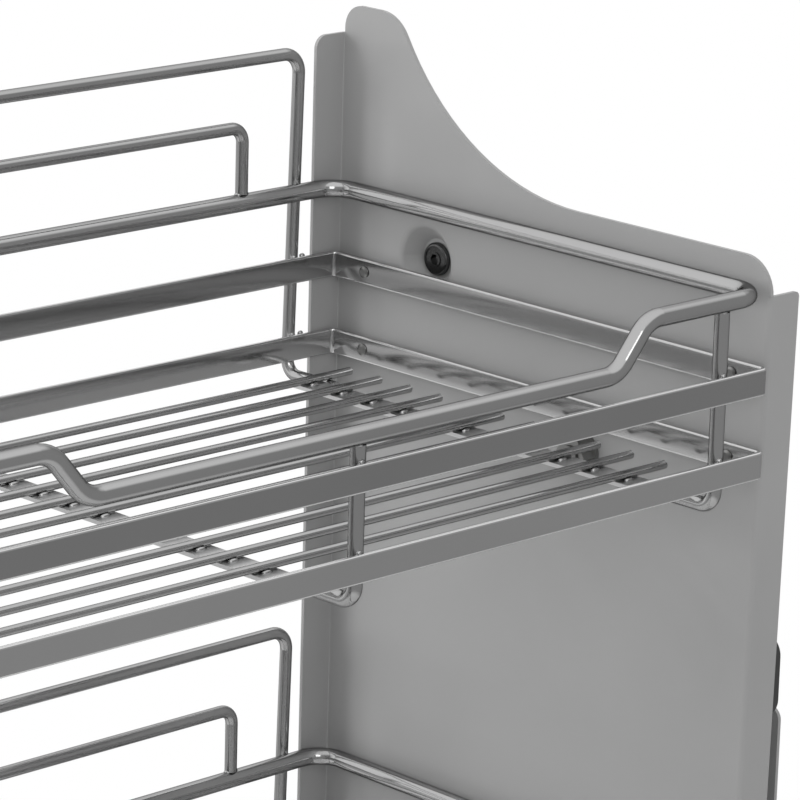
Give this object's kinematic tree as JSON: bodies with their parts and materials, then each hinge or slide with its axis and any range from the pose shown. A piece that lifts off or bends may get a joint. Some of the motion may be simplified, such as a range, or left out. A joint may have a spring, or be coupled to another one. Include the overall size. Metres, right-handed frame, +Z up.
{
  "type": "pull-down shelf organizer",
  "caption": "Wall-cabinet organizer with chrome wire baskets between grey steel side panels, swung forward and down on parallel arms from wall housings.",
  "frame": {"origin": "middle of the footprint on the cabinet floor, between the two wall housings", "axes": "+X to the right along the baskets, +Y into the cabinet, +Z up"},
  "size_m": [0.8422, 0.277, 0.511],
  "materials": {
    "chrome_wire": "polished",
    "chrome_bar": "polished",
    "chrome_strip": "mirror polished",
    "zinc": "zinc plated",
    "grey_plastic": "matte",
    "grey_paint": "fine satin powder coat",
    "arm_paint": "satin powder coat",
    "black_oxide": "black oxide",
    "buffer_rubber": "matte",
    "black_plastic": "matte",
    "grip_rubber": "matte"
  },
  "bodies": {
    "base": {"wall_housing_right": "grey_paint", "wall_housing_left": "grey_paint", "housing_cover_right": "grey_paint", "housing_cover_left": "grey_paint", "cover_screws": "zinc", "base_pins": "zinc", "base_washers": "zinc", "base_sleeves": "zinc", "spring_drums": "black_plastic"},
    "right_front_arm": {"front_arm_right": "arm_paint"},
    "right_rear_arm": {"rear_arm_right": "arm_paint"},
    "left_front_arm": {"front_arm_left": "arm_paint"},
    "left_rear_arm": {"rear_arm_left": "arm_paint"},
    "carrier": {"lower_top_rail": "chrome_wire", "lower_front_posts": "chrome_wire", "lower_rear_posts": "chrome_wire", "lower_floor_wires": "chrome_wire", "lower_outer_guard": "chrome_wire", "lower_inner_guard": "chrome_wire", "lower_mid_band": "chrome_bar", "lower_bottom_band": "chrome_bar", "lower_cross_strips": "chrome_strip", "upper_top_rail": "chrome_wire", "upper_front_posts": "chrome_wire", "upper_rear_posts": "chrome_wire", "upper_floor_wires": "chrome_wire", "upper_outer_guard": "chrome_wire", "upper_inner_guard": "chrome_wire", "upper_mid_band": "chrome_bar", "upper_bottom_band": "chrome_bar", "upper_cross_strips": "chrome_strip", "basket_rivets": "zinc", "basket_spacers": "grey_plastic", "side_panel_right": "grey_paint", "side_panel_left": "grey_paint", "rear_pivot_bolts": "black_oxide", "front_pivot_bolts": "zinc", "rear_pivot_nuts": "zinc", "front_pivot_nuts": "zinc", "pivot_washers": "zinc", "pivot_bushes": "zinc", "stop_buffers": "buffer_rubber", "handle_tube": "chrome_wire", "handle_caps": "black_plastic", "handle_grip": "grip_rubber", "handle_bracket_right": "grey_paint", "handle_bracket_left": "grey_paint", "handle_screws": "zinc", "handle_nuts": "zinc"}
  },
  "joints": [
    {"name": "right_front_swing", "type": "hinge", "parent": "base", "child": "right_front_arm", "pos_m": [0.4044, -0.07138, 0.0242], "axis": [1, 0, 0], "range_deg": [0, 106]},
    {"name": "right_rear_swing", "type": "hinge", "parent": "base", "child": "right_rear_arm", "pos_m": [0.4044, 0.01762, 0.082], "axis": [1, 0, 0], "range_deg": [0, 106]},
    {"name": "left_front_swing", "type": "hinge", "parent": "base", "child": "left_front_arm", "pos_m": [-0.4044, -0.07138, 0.0242], "axis": [1, 0, 0], "range_deg": [0, 106]},
    {"name": "left_rear_swing", "type": "hinge", "parent": "base", "child": "left_rear_arm", "pos_m": [-0.4044, 0.01762, 0.082], "axis": [1, 0, 0], "range_deg": [0, 106]},
    {"name": "carrier_level", "type": "hinge", "parent": "right_front_arm", "child": "carrier", "pos_m": [0.4044, -0.0065, 0.358], "axis": [1, 0, 0], "range_deg": [-106, 0]}
  ],
  "couplings": [
    {"joint": "right_rear_swing", "follows": "right_front_swing", "ratio": 1},
    {"joint": "left_front_swing", "follows": "right_front_swing", "ratio": 1},
    {"joint": "left_rear_swing", "follows": "right_front_swing", "ratio": 1},
    {"joint": "carrier_level", "follows": "right_front_swing", "ratio": -1}
  ]
}
